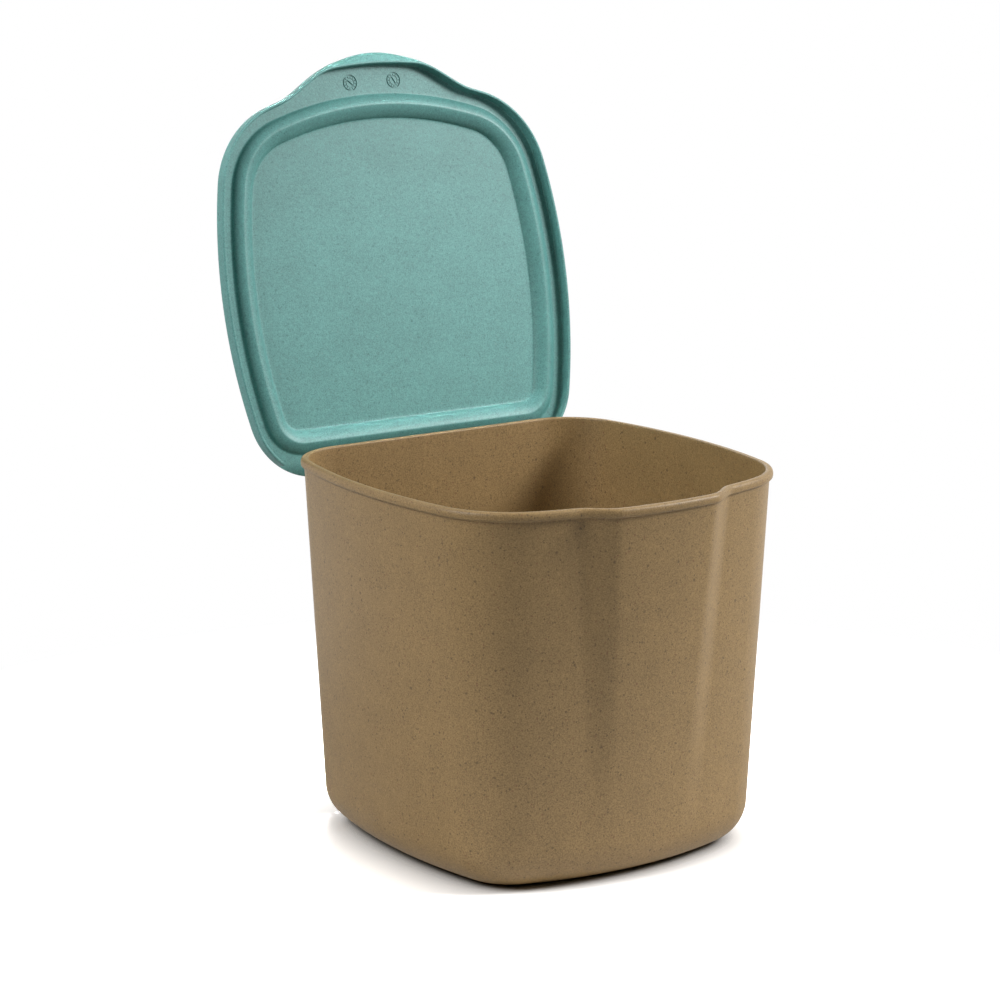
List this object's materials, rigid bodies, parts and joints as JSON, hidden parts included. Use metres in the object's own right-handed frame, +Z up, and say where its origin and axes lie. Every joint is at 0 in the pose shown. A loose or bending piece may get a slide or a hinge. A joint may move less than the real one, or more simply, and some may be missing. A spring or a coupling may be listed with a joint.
{
  "type": "compost caddy",
  "caption": "Square tapered kitchen compost caddy with bowed sides, a bulged front and a rear-hinged lid with a plug ridge and thumb lip, standing open.",
  "frame": {"origin": "on the ground in the middle of the flat base, below the middle of the mouth", "axes": "+Z up, front of the bin towards -Y, hinge at the rear towards +Y, +X to the right seen from the front"},
  "size_m": [0.1972, 0.2525, 0.3608],
  "materials": {
    "bin_plastic": "satin tan bioplastic with fine dark flecks",
    "lid_plastic": "satin teal bioplastic with fine dark flecks",
    "pin_steel": "drawn steel wire"
  },
  "bodies": {
    "bin": {"bin": "bin_plastic", "hinge_pin_left": "pin_steel", "hinge_pin_right": "pin_steel"},
    "lid": {"lid": "lid_plastic"}
  },
  "joints": [
    {"name": "lid_hinge", "type": "hinge", "parent": "bin", "child": "lid", "pos_m": [0, 0.0937, 0.1664], "axis": [1, 0, 0], "range_deg": [0, 102.7]}
  ]
}
